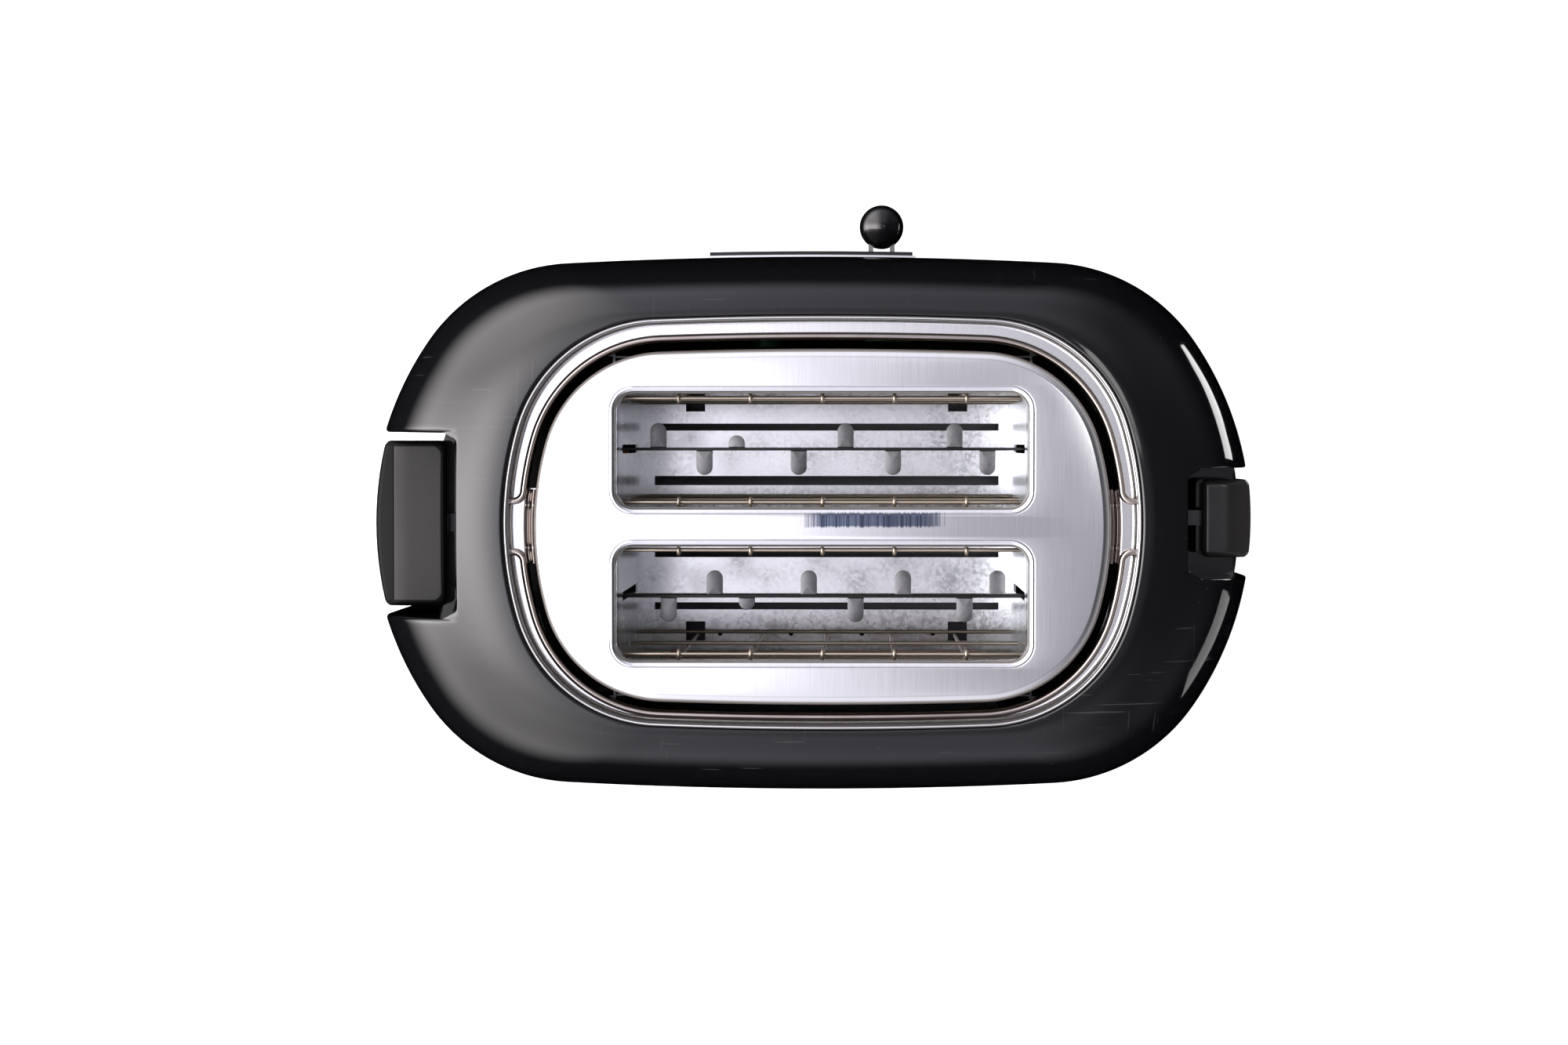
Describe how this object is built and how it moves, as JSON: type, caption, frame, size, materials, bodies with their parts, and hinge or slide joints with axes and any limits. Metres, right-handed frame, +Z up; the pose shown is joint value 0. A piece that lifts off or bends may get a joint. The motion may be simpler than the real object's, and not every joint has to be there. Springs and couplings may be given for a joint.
{
  "type": "toaster",
  "caption": "Loaf-shaped black toaster with a steel slot plate, bright gutter ring, folding wire bun rack, end levers and a front panel with a ball knob.",
  "frame": {"origin": "middle of the footprint, on the surface the feet stand on", "axes": "+Z up, +X towards the bread lever along the long side, -Y towards the control panel"},
  "size_m": [0.2924, 0.1992, 0.186],
  "materials": {
    "gloss_black": "high gloss moulding",
    "satin_black": "fine texture",
    "pad_black": "fine grained soft-touch",
    "rubber_black": "matte",
    "bright_chrome": "bright",
    "polished_steel": "fine polish",
    "galvanised": "galvanised sheet",
    "guard_wire": "heat-tinted wire",
    "bright_wire": "bright wire",
    "plain_steel": "plain",
    "mica": "flaky matt",
    "ribbon": "oxidised ribbon",
    "copper": "enamelled winding",
    "board_green": "solder mask"
  },
  "bodies": {
    "housing": {"housing_shell": "gloss_black", "base_pan": "satin_black", "rubber_feet": "rubber_black", "base_screws": "plain_steel", "chrome_ring": "bright_chrome", "top_plate": "polished_steel", "rack_bracket": "plain_steel", "electromagnet": "copper", "guide_rod": "plain_steel", "mech_bracket": "galvanised", "return_spring": "plain_steel", "end_plate_lever": "galvanised", "end_plate_rack": "galvanised", "reflector_front": "galvanised", "reflector_rear": "galvanised", "chamber_floor": "galvanised", "heater_board_front": "mica", "heater_board_centre": "mica", "heater_board_rear": "mica", "heater_ribbons": "ribbon", "panel_bezel": "bright_chrome", "control_panel": "gloss_black", "circuit_board": "board_green", "browning_pot": "satin_black", "cord_gland": "rubber_black"},
    "carriage": {"carriage_bar_front": "galvanised", "carriage_bar_rear": "galvanised", "lift_bracket": "plain_steel", "far_slider": "plain_steel", "armature": "plain_steel", "bread_lever": "gloss_black", "lever_pad": "pad_black"},
    "guard_one": {"bread_guard_1": "guard_wire"},
    "guard_two": {"bread_guard_2": "guard_wire"},
    "guard_three": {"bread_guard_3": "guard_wire"},
    "guard_four": {"bread_guard_4": "guard_wire"},
    "rack_slide": {"rack_cam": "plain_steel", "rack_lever": "gloss_black"},
    "rack_front": {"rack_wire_front": "bright_wire"},
    "rack_rear": {"rack_wire_rear": "bright_wire"},
    "browning": {"slider_bracket": "plain_steel", "ball_knob": "gloss_black"},
    "stop": {"stop_button": "satin_black"},
    "defrost": {"defrost_button": "satin_black"},
    "reheat": {"reheat_button": "satin_black"},
    "tray": {"crumb_tray": "galvanised", "tray_front": "satin_black"}
  },
  "joints": [
    {"name": "bread_lift", "type": "slide", "parent": "housing", "child": "carriage", "axis": [0, 0, 1], "range_m": [-0.062, 0], "stiffness_N_per_m": 60, "springref_m": 0.06, "deforming": ["return_spring"]},
    {"name": "guard_one_lean", "type": "hinge", "parent": "housing", "child": "guard_one", "pos_m": [-0.0044, -0.0308, 0.04], "axis": [1, 0, 0], "range_deg": [-4.05, 0]},
    {"name": "guard_two_lean", "type": "hinge", "parent": "housing", "child": "guard_two", "pos_m": [-0.0044, 0.0032, 0.04], "axis": [1, 0, 0], "range_deg": [0, 4.05]},
    {"name": "guard_three_lean", "type": "hinge", "parent": "housing", "child": "guard_three", "pos_m": [-0.0044, 0.0186, 0.04], "axis": [1, 0, 0], "range_deg": [-4.05, 0]},
    {"name": "guard_four_lean", "type": "hinge", "parent": "housing", "child": "guard_four", "pos_m": [-0.0044, 0.0526, 0.04], "axis": [1, 0, 0], "range_deg": [0, 4.05]},
    {"name": "rack_lift", "type": "slide", "parent": "housing", "child": "rack_slide", "axis": [0, 0, 1], "range_m": [-0.0108, 0]},
    {"name": "rack_front_turn", "type": "hinge", "parent": "housing", "child": "rack_front", "pos_m": [-0.1044, 0.0027, 0.1779], "axis": [1, 0, 0], "range_deg": [-75.2, 0]},
    {"name": "rack_rear_turn", "type": "hinge", "parent": "housing", "child": "rack_rear", "pos_m": [-0.1044, 0.0191, 0.1779], "axis": [1, 0, 0], "range_deg": [0, 75.2]},
    {"name": "browning_slide", "type": "slide", "parent": "housing", "child": "browning", "axis": [1, 0, 0], "range_m": [-0.002, 0.0505]},
    {"name": "stop_press", "type": "slide", "parent": "housing", "child": "stop", "axis": [0, 1, 0], "range_m": [0, 0.0015], "stiffness_N_per_m": 400, "springref_m": -0.003},
    {"name": "defrost_press", "type": "slide", "parent": "housing", "child": "defrost", "axis": [0, 1, 0], "range_m": [0, 0.0015], "stiffness_N_per_m": 400, "springref_m": -0.003},
    {"name": "reheat_press", "type": "slide", "parent": "housing", "child": "reheat", "axis": [0, 1, 0], "range_m": [0, 0.0015], "stiffness_N_per_m": 400, "springref_m": -0.003},
    {"name": "tray_pull", "type": "slide", "parent": "housing", "child": "tray", "axis": [0, 1, 0], "range_m": [0, 0.12]}
  ],
  "couplings": [
    {"joint": "guard_one_lean", "follows": "bread_lift", "rad_per_m": 1.126},
    {"joint": "guard_two_lean", "follows": "bread_lift", "rad_per_m": -1.126},
    {"joint": "guard_three_lean", "follows": "bread_lift", "rad_per_m": 1.126},
    {"joint": "guard_four_lean", "follows": "bread_lift", "rad_per_m": -1.126},
    {"joint": "rack_front_turn", "follows": "rack_lift", "rad_per_m": 121.2},
    {"joint": "rack_rear_turn", "follows": "rack_lift", "rad_per_m": -121.2}
  ]
}
